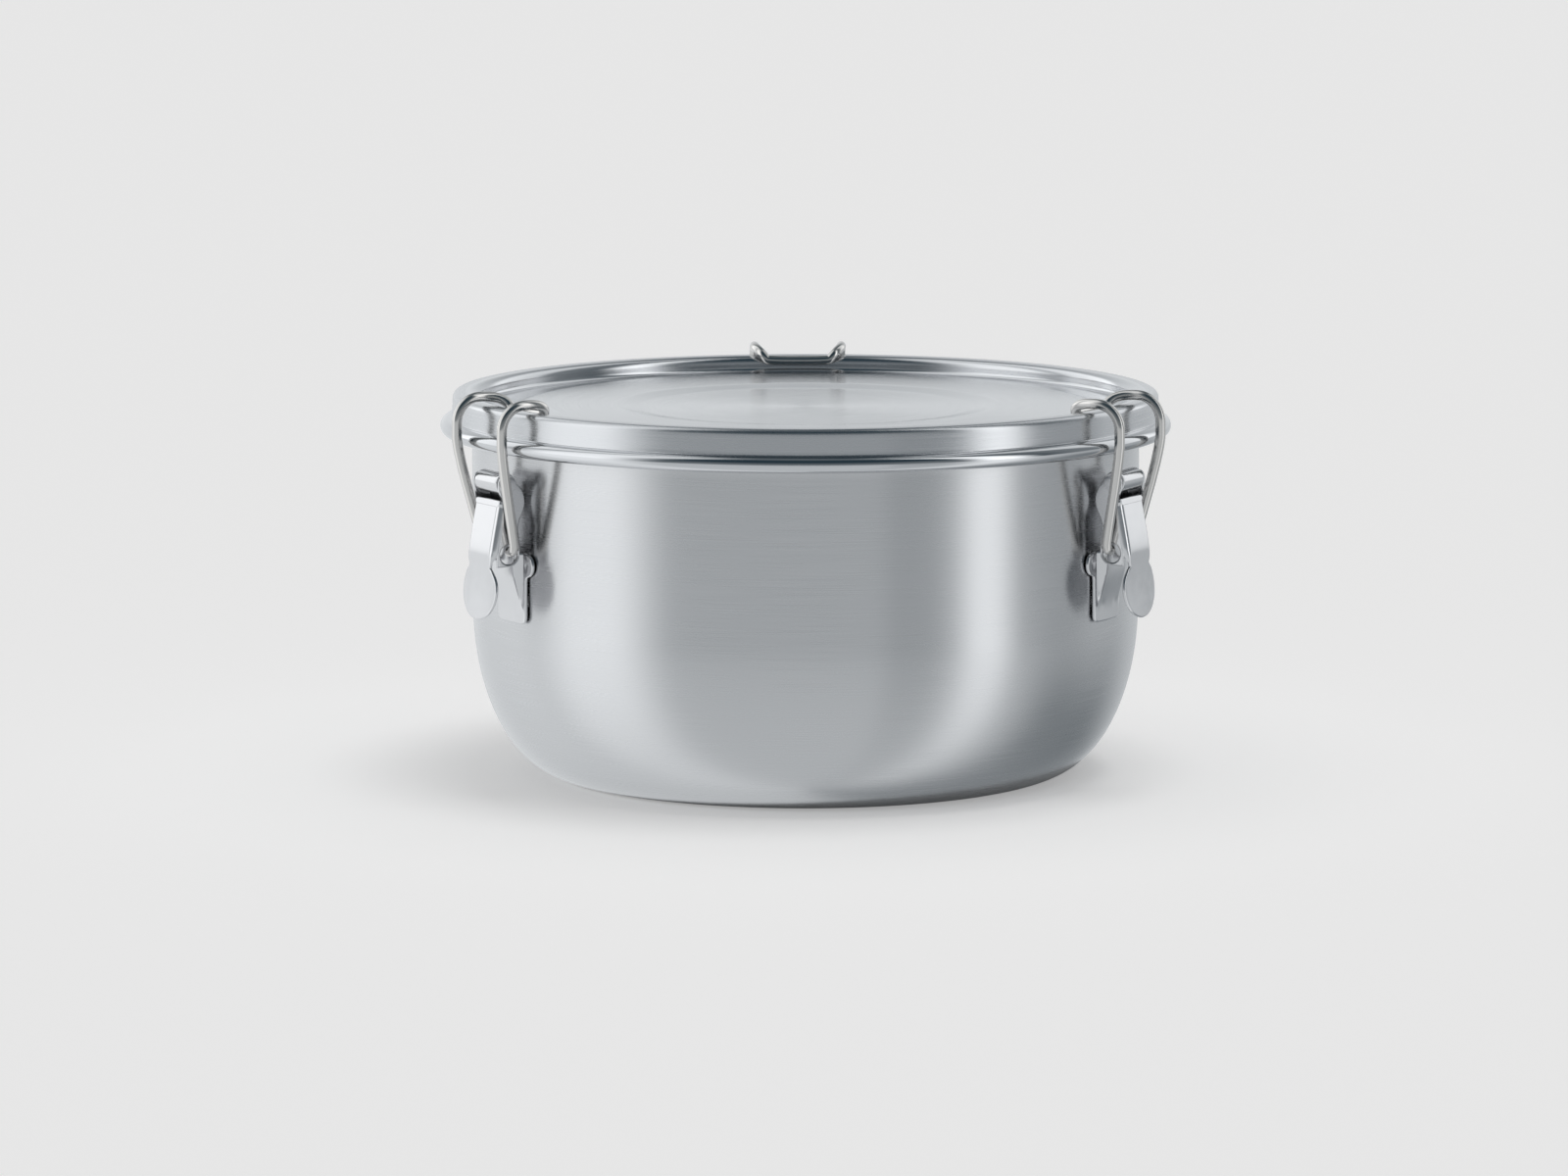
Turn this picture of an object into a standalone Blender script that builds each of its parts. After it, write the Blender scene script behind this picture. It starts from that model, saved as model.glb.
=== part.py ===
"""A round steel food container: a pressed bowl, a recessed lid with its seal ring, and three wire toggle latches.

Metres, +Z up. The origin is the centre of the flat base, and the middle latch is at the back, on +Y.
"""

import math

import bmesh
import bpy
from mathutils import Matrix, Vector

MM = 0.001

# Clearances
GAP = 0.3 * MM  # between pieces that touch on the real container
RUN_GAP = 0.35 * MM  # beside the wires and levers that move

# Bowl
BODY_RADIUS = 82.8 * MM  # outside of the wall
BOWL_HEIGHT = 86.3 * MM  # floor to the top of the bowl's flange
BASE_RADIUS = 60.0 * MM  # flat part of the base
BASE_RISE = 41.5 * MM  # height of the big rounded edge round the base
SHEET = 0.8 * MM  # bowl and lid sheet
FLANGE_BEND = 1.2 * MM
BEAD_RADIUS = 0.85 * MM  # rolled edge of the bowl's flange

# Lid
BAND_STEP = 5.0 * MM  # how far the lid's band stands out from the wall
LID_HEIGHT = 8.4 * MM  # rim top above the foot of the seal
RIM_HEIGHT = 8.1 * MM  # rim top above the middle of the lid's rolled edge
BAND_HEIGHT = 4.0 * MM  # rim top down to the start of the flare
RIM_WIDTH = 6.2 * MM
RIM_OUTER_ROUND = 1.4 * MM
RIM_INNER_ROUND = 2.0 * MM
FLARE_ROUND = 1.0 * MM
FLARE_REACH = 2.87 * MM  # lid's rolled edge beyond its band
HEM_RADIUS = 2.0 * MM
HEM_LEAN = math.radians(45)  # slope of the flare from upright
HEM_END = math.radians(-120)  # where the roll stops, beside the bowl's flange
GUTTER_DEPTH = 4.2 * MM
GUTTER_ROUND = 1.2 * MM
GUTTER_WIDTH = 8.9 * MM
PLATE_STEP = 2.0 * MM
PLATE_RISE = 0.8 * MM
DISC_RADIUS = 41.0 * MM
DISC_SLOPE = 7.4 * MM
DISC_DROP = 0.7 * MM

# Seal
SEAL_BULGE = 0.5 * MM  # how far the middle of its foot is proud of its edges

# Latches
LATCH_ANGLES = {"right": -30.0, "back": 90.0, "left": 210.0}  # degrees from +X
PLATE_SHEET = 0.9 * MM
LEVER_SHEET = 0.8 * MM
WIRE_RADIUS = 1.25 * MM
PIN_RADIUS = 1.5 * MM
PIN_HEAD_RADIUS = 2.2 * MM
PIN_HEAD = 0.8 * MM
PIVOT_REACH = 4.0 * MM  # lever pivot in front of the plate's foot
PIVOT_DROP = 17.5 * MM  # lever pivot below the rim top
LINK_DROP = 16.4 * MM  # wire end below the lever pivot
LINK_INSET = 0.7 * MM  # wire end inside the lever pivot
EYELET_RADIUS = 2.4 * MM
EYELET_EDGE = 0.7 * MM
EYELET_SHIFT = 0.5 * MM  # middle of the eyelet in front of the wire end
EYELET_SINK = 0.65 * MM  # and below it

LEVER_WIDTH = 13.2 * MM
CUT = 30.0 * MM  # cutters of the latch pieces, longer than any of them is wide
LEVER_SLOT = 1.2 * MM  # between the plate's curl and the lever's face
LEVER_LEAN = 2.5 * MM  # how far the face leans out down to the wire ends
LEVER_FACE = 2.0 * MM  # face in front of the pivot, at its top
WAIST_WIDTH = 11.0 * MM
WAIST_DROP = 3.2 * MM  # waist below the wire ends
PADDLE_WIDTH = 16.6 * MM
PADDLE_RISE = 7.2 * MM  # half the height of the paddle
PADDLE_DROP = 6.4 * MM  # middle of the paddle below the waist
PADDLE_BOW = 0.4 * MM  # how far the middle of the paddle is in front of the waist
PADDLE_KICK = 1.2 * MM  # and its tip
BOSS_EDGE = 0.9 * MM
LOBE_RADIUS = 3.0 * MM
LOBE_DROP = 2.9 * MM
EAR_WAIST = 6.9 * MM  # narrowest part of the ear, from the front of the face

FOOT_WIDTH = 13.8 * MM
FOOT_LENGTH = 14.5 * MM  # below the middle of the wings
FOOT_ROUND = 2.0 * MM
WING_REACH = 3.1 * MM
WING_RADIUS = 3.0 * MM
WING_DROP = 3.6 * MM  # middle of the wings below the wire ends
SWELL_START = 11.0 * MM  # where the raised tongue leaves the foot, below the wings
CURL_END = math.radians(-75)

BAIL_WIDTH = 22.6 * MM  # between the wire's legs where they pass the rim
ARCH_RADIUS = 6.2 * MM
HOOK_GAP = 0.85 * MM  # wire above the rim top
HOOK_CORNER = 3.4 * MM  # turn from the arch to the crossbar
HOOK_EASE = 1.3  # how late in that turn the wire sinks
CROSSBAR_GAP = 1.45 * MM  # wire inside the rim's inner wall
CROSSBAR_DROP = 1.0 * MM
WIRE_BEND = 1.9 * MM

# Fineness
TURN_STEPS = 48  # round the container
ROD_STEPS = 16  # round a pin or a hole
CURL_STEPS = 12  # round the plate's curl
CORNER_STEPS = 8  # along a large curve
BEND_STEPS = 6  # along a bend in the wire or a lobe of a latch
ROUND_STEPS = 3  # along a small rounded edge
WIRE_FINENESS = 2  # an eight-sided wire
SMOOTH_ANGLE = math.radians(35)  # sharper edges than this are drawn sharp
MITRE_LIMIT = 0.5
WELD = 0.001 * MM

# Places worked out from the sizes above
rim_top = BOWL_HEIGHT + GAP + LID_HEIGHT
hem_z = rim_top - RIM_HEIGHT
band_radius = BODY_RADIUS + BAND_STEP
hem_radius_out = band_radius + FLARE_REACH
recess_radius = band_radius - RIM_WIDTH
bead_radius_out = hem_radius_out - 2 * HEM_RADIUS - GAP
eyelet_ring = EYELET_RADIUS + EYELET_EDGE
plate_front = BODY_RADIUS + GAP + PLATE_SHEET
pivot_r = plate_front + PIVOT_REACH
pivot_z = rim_top - PIVOT_DROP
link_r = pivot_r - LINK_INSET
link_z = pivot_z - LINK_DROP
ear_out = LEVER_WIDTH / 2
ear_in = ear_out - LEVER_SHEET
curl_in = PIN_RADIUS + GAP
curl_out = curl_in + PLATE_SHEET
UP = math.pi / 2


def arc(centre, radius, start, end, steps=ROUND_STEPS):
    """Points on a circle in a plane, from the start angle to the end angle."""
    angles = [start + (end - start) * i / steps for i in range(steps + 1)]
    return [Vector((centre[0] + radius * math.cos(a), centre[1] + radius * math.sin(a))) for a in angles]


def offset_path(points, distance):
    """The path moved sideways by distance, to its right, with mitred corners."""
    moved = []
    for i, point in enumerate(points):
        before = points[max(i - 1, 0)]
        after = points[min(i + 1, len(points) - 1)]
        first = (point - before).normalized() if i else (after - point).normalized()
        second = (after - point).normalized() if i < len(points) - 1 else first
        middle = (first + second).normalized()
        right = Vector((middle.y, -middle.x))
        moved.append(point + right * (distance / max(middle.dot(first), MITRE_LIMIT)))
    return moved


def add_part(name, mesh, material, parent=None, location=(0, 0, 0)):
    """A part with its own material, in the container's collection, shaded smooth on its round faces."""
    mesh.materials.clear()
    mesh.materials.append(material)
    mesh.shade_smooth()
    mesh.set_sharp_from_angle(angle=SMOOTH_ANGLE)
    part = bpy.data.objects.new(name, mesh)
    part.parent = parent
    part.location = location
    container.objects.link(part)
    return part


def metal(name, colour, roughness, metallic=1.0):
    """A plain Principled material."""
    material = bpy.data.materials.new(name)
    material.use_nodes = True
    shader = material.node_tree.nodes["Principled BSDF"]
    shader.inputs["Base Color"].default_value = (*colour, 1.0)
    shader.inputs["Roughness"].default_value = roughness
    shader.inputs["Metallic"].default_value = metallic
    return material


def as_mesh(helper):
    """The helper's evaluated mesh in its parent's frame, with its caps welded. The helper is removed."""
    bpy.context.view_layer.update()
    evaluated = helper.evaluated_get(bpy.context.evaluated_depsgraph_get())
    mesh = bpy.data.meshes.new_from_object(evaluated)
    mesh.transform(helper.matrix_world)
    bpy.data.objects.remove(helper)
    shape = bmesh.new()
    shape.from_mesh(mesh)
    bmesh.ops.remove_doubles(shape, verts=shape.verts, dist=WELD)
    shape.to_mesh(mesh)
    shape.free()
    return mesh


def add_helper(name, data, turn=None):
    """A shape that goes into a part: it is linked so that it evaluates, and hidden from renders."""
    helper = bpy.data.objects.new(name, data)
    helper.hide_render = True
    helper.display_type = "WIRE"
    if turn is not None:
        helper.matrix_world = turn
    cutters.objects.link(helper)
    return helper


def turned(name, profile, steps=TURN_STEPS):
    """A profile of (radius, height) points spun round Z. It runs clockwise, with its solid on its right."""
    shape = bmesh.new()
    corners = [shape.verts.new((point[0], 0, point[1])) for point in profile]
    closed = profile[0][0] > 0
    ends = corners[1:] + (corners[:1] if closed else [])
    for first, second in zip(corners, ends):
        shape.edges.new((first, second))
    mesh = bpy.data.meshes.new(name)
    shape.to_mesh(mesh)
    shape.free()
    helper = add_helper(name, mesh)
    screw = helper.modifiers.new("turn", "SCREW")
    screw.steps = steps
    screw.render_steps = steps
    screw.use_merge_vertices = True
    screw.merge_threshold = WELD
    return as_mesh(helper)


SIDE_ON = Matrix.Rotation(UP, 4, "X")  # an outline of (radial, up) points, thick along the tangent
FACE_ON = Matrix(((0, 0, 1, 0), (1, 0, 0, 0), (0, 1, 0, 0), (0, 0, 0, 1)))  # (tangent, up), thick radially


def plate(name, outline, thickness, turn, shift=(0, 0, 0)):
    """A flat outline given a thickness, then turned and shifted into place."""
    curve = bpy.data.curves.new(name, "CURVE")
    curve.dimensions = "2D"
    curve.fill_mode = "BOTH"
    curve.extrude = thickness / 2
    spline = curve.splines.new("POLY")
    spline.points.add(len(outline) - 1)
    for point, corner in zip(spline.points, outline):
        point.co = (corner[0], corner[1], 0, 1)
    spline.use_cyclic_u = True
    return as_mesh(add_helper(name, curve, Matrix.Translation(shift) @ turn))


def rod(name, centre, radius, length):
    """A round rod along the tangent."""
    shape = bmesh.new()
    bmesh.ops.create_cone(shape, cap_ends=True, segments=ROD_STEPS, radius1=radius, radius2=radius, depth=length)
    mesh = bpy.data.meshes.new(name)
    shape.to_mesh(mesh)
    shape.free()
    mesh.transform(Matrix.Translation((centre[0], 0, centre[1])) @ SIDE_ON)
    return mesh


def combined(name, base, *steps):
    """The base mesh after each (operation, mesh) step."""
    helper = add_helper(name, base)
    tools = []
    for operation, mesh in steps:
        tool = add_helper(name + "_" + operation.lower(), mesh)
        change = helper.modifiers.new(operation.lower(), "BOOLEAN")
        change.operation = operation
        change.object = tool
        tools.append(tool)
    mesh = as_mesh(helper)
    for tool in tools:
        bpy.data.objects.remove(tool)
    return mesh


def mirrored(half):
    """A (tangent, up) outline from its half on the plus side, listed from top to bottom."""
    return half + [Vector((-point.x, point.y)) for point in reversed(half)]


def bowl_mesh():
    """Flat base, big elliptical bottom edge, straight wall, and a flange rolled under at its edge."""
    inner = BODY_RADIUS - SHEET
    side = inner - BASE_RADIUS
    rise = BASE_RISE - SHEET
    bend = FLANGE_BEND + SHEET
    upper = [Vector((0, SHEET))]
    for i in range(CORNER_STEPS + 1):
        angle = -UP + UP * i / CORNER_STEPS
        upper.append(Vector((BASE_RADIUS + side * math.cos(angle), BASE_RISE + rise * math.sin(angle))))
    upper += arc((inner + bend, BOWL_HEIGHT - bend), bend, math.pi, UP)
    bead = (bead_radius_out - BEAD_RADIUS, BOWL_HEIGHT - BEAD_RADIUS)
    hidden = math.acos((BEAD_RADIUS - SHEET) / BEAD_RADIUS)
    rolled = arc(bead, BEAD_RADIUS, UP, UP + hidden - 2 * math.pi, CORNER_STEPS)
    lower = offset_path(upper + rolled[:1], SHEET)
    return turned("bowl", upper + rolled + lower[-2::-1])


def lid_mesh():
    """Sunk disc, plate, gutter, raised rim, upright band, and a flare rolled under round the bowl's flange."""
    gutter_z = rim_top - GUTTER_DEPTH
    plate_z = gutter_z + PLATE_RISE
    step_out = recess_radius - GUTTER_WIDTH
    foot = recess_radius - GUTTER_ROUND
    flare_z = rim_top - BAND_HEIGHT
    hem = Vector((hem_radius_out - HEM_RADIUS, hem_z))
    upper = [
        Vector((0, plate_z - DISC_DROP)),
        Vector((DISC_RADIUS, plate_z - DISC_DROP)),
        Vector((DISC_RADIUS + DISC_SLOPE, plate_z)),
        Vector((step_out - PLATE_STEP, plate_z)),
        Vector((step_out, gutter_z)),
    ]
    upper += arc((foot, gutter_z + GUTTER_ROUND), GUTTER_ROUND, -UP, 0)
    upper += arc((recess_radius + RIM_INNER_ROUND, rim_top - RIM_INNER_ROUND), RIM_INNER_ROUND, math.pi, UP)
    upper += arc((band_radius - RIM_OUTER_ROUND, rim_top - RIM_OUTER_ROUND), RIM_OUTER_ROUND, UP, 0)
    upper += arc((band_radius + FLARE_ROUND, flare_z), FLARE_ROUND, math.pi, math.pi + HEM_LEAN)
    upper += arc(hem, HEM_RADIUS, HEM_LEAN, HEM_END, CORNER_STEPS)
    return turned("lid", upper + offset_path(upper, SHEET)[::-1])


def seal_mesh():
    """A ring that fills the lid's rim from its top down to the bowl's flange, with a rounded foot."""
    inside = recess_radius + SHEET + GAP
    outside = band_radius - SHEET - GAP
    top = rim_top - SHEET - GAP
    foot = BOWL_HEIGHT + GAP
    round_top = RIM_INNER_ROUND / 2
    profile = arc((inside + round_top, top - round_top), round_top, math.pi, UP)
    profile += arc((outside - round_top, top - round_top), round_top, UP, 0)
    profile += [(outside, foot + SEAL_BULGE), ((inside + outside) / 2, foot), (inside, foot + SEAL_BULGE)]
    return turned("lid_seal", profile)


def latch_plate_mesh():
    """The plate welded to the wall: a foot with two wings, and a raised tongue curled round the hinge pin."""
    wing_z = link_z - WING_DROP
    half = FOOT_WIDTH / 2
    bottom = wing_z - FOOT_LENGTH
    wing_mid = half + WING_REACH - WING_RADIUS
    wing_end = -math.acos((half - wing_mid) / WING_RADIUS)
    outline = arc((wing_mid, wing_z), WING_RADIUS, UP, wing_end, BEND_STEPS)
    outline += arc((half - FOOT_ROUND, bottom + FOOT_ROUND), FOOT_ROUND, 0, -UP)
    foot_r = BODY_RADIUS + GAP + PLATE_SHEET / 2
    foot = plate("foot", mirrored(outline), PLATE_SHEET, FACE_ON, (foot_r, 0, 0))

    back = []
    swell_bottom = wing_z - SWELL_START
    for i in range(CORNER_STEPS + 1):
        share = i / CORNER_STEPS
        ease = (1 - math.cos(math.pi * share)) / 2
        back.append(Vector((foot_r + (pivot_r - curl_out - foot_r) * ease, swell_bottom + SWELL_START * share)))
    path = back + arc((pivot_r, pivot_z), curl_out, math.pi, CURL_END, CURL_STEPS)
    strip = plate("strip", path + offset_path(path, PLATE_SHEET)[::-1], 2 * ear_in, SIDE_ON)

    trim = [(ear_in - RUN_GAP, pivot_z + LEVER_WIDTH), (ear_in - RUN_GAP, wing_z)]
    trim += [(LEVER_WIDTH, wing_z), (LEVER_WIDTH, pivot_z + LEVER_WIDTH)]
    cheek = offset_path(back, PLATE_SHEET / 2) + [Vector((foot_r, wing_z)), Vector((foot_r, swell_bottom))]
    trims = []
    cheeks = []
    for side in (-1, 1):
        beside = [(side * x, z) for x, z in trim]
        trims.append(("DIFFERENCE", plate("trim", beside, CUT, FACE_ON, (pivot_r, 0, 0))))
        shift = (0, side * (ear_in - PLATE_SHEET), 0)
        cheeks.append(("UNION", plate("cheek", cheek, PLATE_SHEET, SIDE_ON, shift)))
    tongue = combined("tongue", strip, *trims)
    return combined("latch_plate", foot, ("UNION", tongue), *cheeks)


def lever_mesh():
    """A pressed channel about its pivot: a leaning face with a waist and a round paddle, and two side ears."""
    link = Vector((-LINK_INSET, -LINK_DROP))
    eyelet = link + Vector((EYELET_SHIFT, -EYELET_SINK))
    top = -(curl_out + LEVER_SLOT)
    waist_z = link.y - WAIST_DROP
    paddle_z = waist_z - PADDLE_DROP
    tip = paddle_z - PADDLE_RISE
    lean = LEVER_FACE + LEVER_LEAN
    face = [
        Vector((LEVER_FACE, top)),
        Vector((lean, link.y)),
        Vector((lean, waist_z)),
        Vector((lean + PADDLE_BOW, paddle_z)),
        Vector((lean + PADDLE_KICK, tip)),
    ]
    strip = plate("strip", face + offset_path(face, LEVER_SHEET)[::-1], CUT, SIDE_ON)
    waist = WAIST_WIDTH / 2
    paddle_top = math.acos(WAIST_WIDTH / PADDLE_WIDTH)
    inside = LEVER_SHEET / 2
    outline = [Vector((ear_out - inside, 0)), Vector((ear_out - inside, link.y)), Vector((waist, waist_z))]
    for point in arc((0, 0), 1, paddle_top, -UP, CORNER_STEPS)[:-1]:
        outline.append(Vector((point.x * PADDLE_WIDTH / 2, paddle_z + point.y * PADDLE_RISE)))
    front = plate("front", mirrored(outline), CUT, FACE_ON)

    lobe_r = BODY_RADIUS + RUN_GAP - pivot_r + LOBE_RADIUS
    ring = eyelet.y - eyelet_ring
    ear = [Vector((LEVER_FACE - inside, top))]
    ear += arc((0, 0), curl_in + BOSS_EDGE, 0, UP, BEND_STEPS)
    ear += arc((lobe_r, -LOBE_DROP), LOBE_RADIUS, UP, math.pi + UP / 2, BEND_STEPS)
    ear.append(Vector(((LEVER_FACE + lean) / 2 - EAR_WAIST, (top + link.y) / 2)))
    ear += arc(eyelet, eyelet_ring, math.pi, math.pi + UP, BEND_STEPS)
    ear += [Vector((lean - inside, ring)), Vector((lean - inside, link.y))]
    reach = LEVER_SHEET / 2 - ear_out
    ears = [plate("ear", ear, LEVER_SHEET, SIDE_ON, (0, side * reach, 0)) for side in (-1, 1)]
    steps = [("INTERSECT", front), ("UNION", ears[0]), ("UNION", ears[1])]
    steps.append(("DIFFERENCE", rod("pin_hole", (0, 0), curl_in, CUT)))
    steps.append(("DIFFERENCE", rod("eyelets", eyelet, EYELET_RADIUS, CUT)))
    return combined("lever", strip, *steps)


def bail_path():
    """Half of the wire's middle line, from its end in the eyelet to the middle of its crossbar.

    It runs out through the eyelet, turns up, leans out past the lid's rolled edge, arches over the rim, and
    turns along the inside of the rim while it sinks."""
    leg_foot = ear_out + RUN_GAP + WIRE_RADIUS
    leg_r = hem_radius_out + RUN_GAP + WIRE_RADIUS
    arch_r = leg_r - ARCH_RADIUS
    half = BAIL_WIDTH / 2
    top = rim_top + HOOK_GAP + WIRE_RADIUS
    bar_r = recess_radius - CROSSBAR_GAP - WIRE_RADIUS
    turn = WIRE_BEND
    points = [Vector((link_r, ear_in, link_z))]
    for point in arc((leg_foot - turn, link_z + turn), turn, -UP, 0):
        points.append(Vector((link_r, point.x, point.y)))
    points.append(Vector((leg_r, half, hem_z - HEM_RADIUS)))
    for point in arc((arch_r, top - ARCH_RADIUS), ARCH_RADIUS, 0, UP, BEND_STEPS):
        points.append(Vector((point.x, half, point.y)))
    drop = top - rim_top + CROSSBAR_DROP
    for i in range(1, CORNER_STEPS + 1):
        angle = UP * i / CORNER_STEPS
        inward = (arch_r - bar_r) * math.sin(angle)
        turned_by = 1 - math.cos(angle)
        points.append(Vector((arch_r - inward, half - HOOK_CORNER * turned_by, top - drop * turned_by**HOOK_EASE)))
    return points


def bail_mesh():
    """The whole wire about the line through its two ends."""
    half = bail_path()
    points = half + [Vector((point.x, -point.y, point.z)) for point in reversed(half)]
    curve = bpy.data.curves.new("bail", "CURVE")
    curve.dimensions = "3D"
    curve.bevel_depth = WIRE_RADIUS
    curve.bevel_resolution = WIRE_FINENESS
    curve.use_fill_caps = True
    spline = curve.splines.new("POLY")
    spline.points.add(len(points) - 1)
    for place, point in zip(spline.points, points):
        place.co = (point.x - link_r, point.y, point.z - link_z, 1)
    return as_mesh(add_helper("bail", curve))


def pin_mesh():
    """A riveted pin along the tangent, with a head outside each ear."""
    inside = ear_out + RUN_GAP
    end = inside + PIN_HEAD
    half = [(PIN_HEAD_RADIUS, end), (PIN_HEAD_RADIUS, inside), (PIN_RADIUS, inside)]
    profile = [(0, end)] + half + [(r, -z) for r, z in reversed(half)] + [(0, -end)]
    mesh = turned("hinge_pin", profile, ROD_STEPS)
    mesh.transform(SIDE_ON)
    return mesh


for old in list(bpy.data.objects):
    bpy.data.objects.remove(old)
container = bpy.data.collections.new("food_container")
cutters = bpy.data.collections.new("cutters")
bpy.context.scene.collection.children.link(container)
bpy.context.scene.collection.children.link(cutters)

brushed = metal("brushed_steel", (0.66, 0.66, 0.67), 0.32)
polished = metal("polished_steel", (0.74, 0.74, 0.75), 0.16)
wire = metal("steel_wire", (0.60, 0.58, 0.56), 0.22)
silicone = metal("silicone", (0.75, 0.75, 0.73), 0.55, 0.0)

add_part("bowl", bowl_mesh(), brushed)
add_part("lid", lid_mesh(), brushed)
add_part("lid_seal", seal_mesh(), silicone)

plate_shape = latch_plate_mesh()
lever_shape = lever_mesh()
bail_shape = bail_mesh()
pin_shape = pin_mesh()
for side, angle in LATCH_ANGLES.items():
    frame = bpy.data.objects.new("latch_" + side, None)
    frame.rotation_euler.z = math.radians(angle)
    container.objects.link(frame)
    add_part("latch_plate_" + side, plate_shape, polished, frame)
    add_part("hinge_pin_" + side, pin_shape, polished, frame, (pivot_r, 0, pivot_z))
    lever = add_part("latch_lever_" + side, lever_shape, polished, frame, (pivot_r, 0, pivot_z))
    add_part("latch_bail_" + side, bail_shape, wire, lever, (link_r - pivot_r, 0, link_z - pivot_z))
bpy.data.collections.remove(cutters)
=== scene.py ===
"""The looks of a round steel food container with three wire toggle latches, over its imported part.

Sizes are in millimetres and angles in degrees, and piece() turns millimetres into metres. The order
follows the container's assembly.
"""

import bmesh
import bpy
import numpy as np
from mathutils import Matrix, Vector


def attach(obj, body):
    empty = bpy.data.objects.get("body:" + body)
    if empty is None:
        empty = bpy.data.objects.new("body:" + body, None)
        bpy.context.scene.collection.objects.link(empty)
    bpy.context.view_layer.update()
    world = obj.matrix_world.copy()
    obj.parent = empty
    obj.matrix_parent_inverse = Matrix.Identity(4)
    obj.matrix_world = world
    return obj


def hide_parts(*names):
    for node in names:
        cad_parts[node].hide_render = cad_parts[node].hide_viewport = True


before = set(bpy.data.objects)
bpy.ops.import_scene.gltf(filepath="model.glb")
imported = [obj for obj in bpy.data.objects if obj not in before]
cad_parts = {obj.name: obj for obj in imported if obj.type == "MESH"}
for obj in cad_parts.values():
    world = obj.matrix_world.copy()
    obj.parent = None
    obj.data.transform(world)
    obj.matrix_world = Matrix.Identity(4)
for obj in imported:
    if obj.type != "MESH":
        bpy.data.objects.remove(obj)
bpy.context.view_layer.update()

# Bowl
# One deep-drawn cup of stainless sheet with a flat base and a wide rounded lower edge. Its top edge
# is turned out into a flange with a small bead, and the wall is brushed round and round.
MM = 0.001
SHEET = 0.8
GAP = 0.3
WALL_RADIUS = 82.8
BOWL_HEIGHT = 86.3
BASE_RADIUS = 60.0
BASE_RISE = 41.5
FLANGE_BEND = 1.2
BEAD_RADIUS = 0.85
BEAD_OUT = 86.37
BEAD_END = -183
TURN_STEPS = 192
MERGE_DISTANCE = 1e-6
SHARP_ANGLE = 40
NOISE_DETAIL = 4.0
NOISE_SPAN = (0.3, 0.7)
BOWL_STEEL = (0.640, 0.645, 0.655)


def arc(centre, radius, start, end, steps):
    """Points on a circle or ellipse: centre + radius (cos a, sin a), with a going evenly from start
    to end degrees."""
    a = np.radians(np.linspace(start, end, steps + 1))
    return np.array(centre) + np.array(radius) * np.stack([np.cos(a), np.sin(a)], axis=1)


def refined(outline, step):
    """The same outline, with points added evenly along each stretch that is longer than step."""
    stretch_lengths = np.linalg.norm(np.diff(outline, axis=0), axis=1)
    counts = np.maximum(1, np.ceil(stretch_lengths / step)).astype(int)
    stretch = np.repeat(np.arange(len(counts)), counts)
    first = (np.cumsum(counts) - counts)[stretch]
    share = (np.arange(len(stretch)) - first) / counts[stretch]
    added = outline[stretch] + share[:, None] * (outline[stretch + 1] - outline[stretch])
    return np.concatenate([added, outline[-1:]])


def spun(outline, steps=TURN_STEPS):
    """An outline of (radius, height) points carried round the axis: (radius cos a, radius sin a,
    height)."""
    a = np.linspace(0, 2 * np.pi, steps, endpoint=False)
    radius, height = outline[:, :1], outline[:, 1:]
    turned = np.broadcast_arrays(radius * np.cos(a), radius * np.sin(a), height)
    return np.stack(turned, axis=-1)


def skin(grid, rows_meet=False, columns_meet=True, capped=False):
    """One face for each cell of a grid of points, as (points, faces, UVs). U is the distance along
    the rows and V the distance along the columns, both in millimetres. A capped skin closes its
    first and last row."""
    rows, columns = grid.shape[:2]
    i = np.arange(rows if rows_meet else rows - 1)[:, None]
    j = np.arange(columns if columns_meet else columns - 1)[None, :]
    along = np.linalg.norm(np.roll(grid, -1, axis=0) - grid, axis=2).mean(axis=1)
    across = np.linalg.norm(np.roll(grid, -1, axis=1) - grid, axis=2).max(axis=0)
    u = np.concatenate([[0], np.cumsum(along)])
    v = np.concatenate([[0], np.cumsum(across)])
    corners = [(i, j), (i + 1, j), (i + 1, j + 1), (i, j + 1)]
    faces = np.stack([(a % rows) * columns + b % columns for a, b in corners], axis=-1)
    corner_uvs = [np.stack(np.broadcast_arrays(u[a], v[b]), axis=-1) for a, b in corners]
    uvs = np.stack(corner_uvs, axis=-2)
    ends = []
    if capped:
        ends = [list(range(columns)), list(range((rows - 1) * columns, rows * columns))]
    return grid.reshape(-1, 3), faces.reshape(-1, 4).tolist() + ends, uvs.reshape(-1, 2)


def piece(name, skins, material, body, slot, *nodes):
    """An object made of one or more skins: welded, faced outward, smooth except at sharp edges, and
    riding on its body."""
    points, faces, uvs = [], [], []
    for skin_points, skin_faces, skin_uvs in skins:
        start = sum(map(len, points))
        points.append(skin_points)
        faces += [[start + corner for corner in face] for face in skin_faces]
        spare = sum(map(len, skin_faces)) - len(skin_uvs)
        uvs.append(np.concatenate([skin_uvs, np.zeros((spare, 2))]))
    mesh = bpy.data.meshes.new(name)
    mesh.from_pydata((np.concatenate(points) * MM).tolist(), [], faces)
    mesh.uv_layers.new(name="course").data.foreach_set("uv", np.concatenate(uvs).ravel())
    shape = bmesh.new()
    shape.from_mesh(mesh)
    bmesh.ops.remove_doubles(shape, verts=shape.verts, dist=MERGE_DISTANCE)
    bmesh.ops.recalc_face_normals(shape, faces=shape.faces)
    shape.to_mesh(mesh)
    shape.free()
    mesh.shade_smooth()
    mesh.set_sharp_from_angle(angle=np.radians(SHARP_ANGLE))
    mesh.materials.append(material)
    thing = bpy.data.objects.new(name, mesh)
    bpy.context.scene.collection.objects.link(thing)
    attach(thing, body)
    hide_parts(*nodes)


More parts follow.
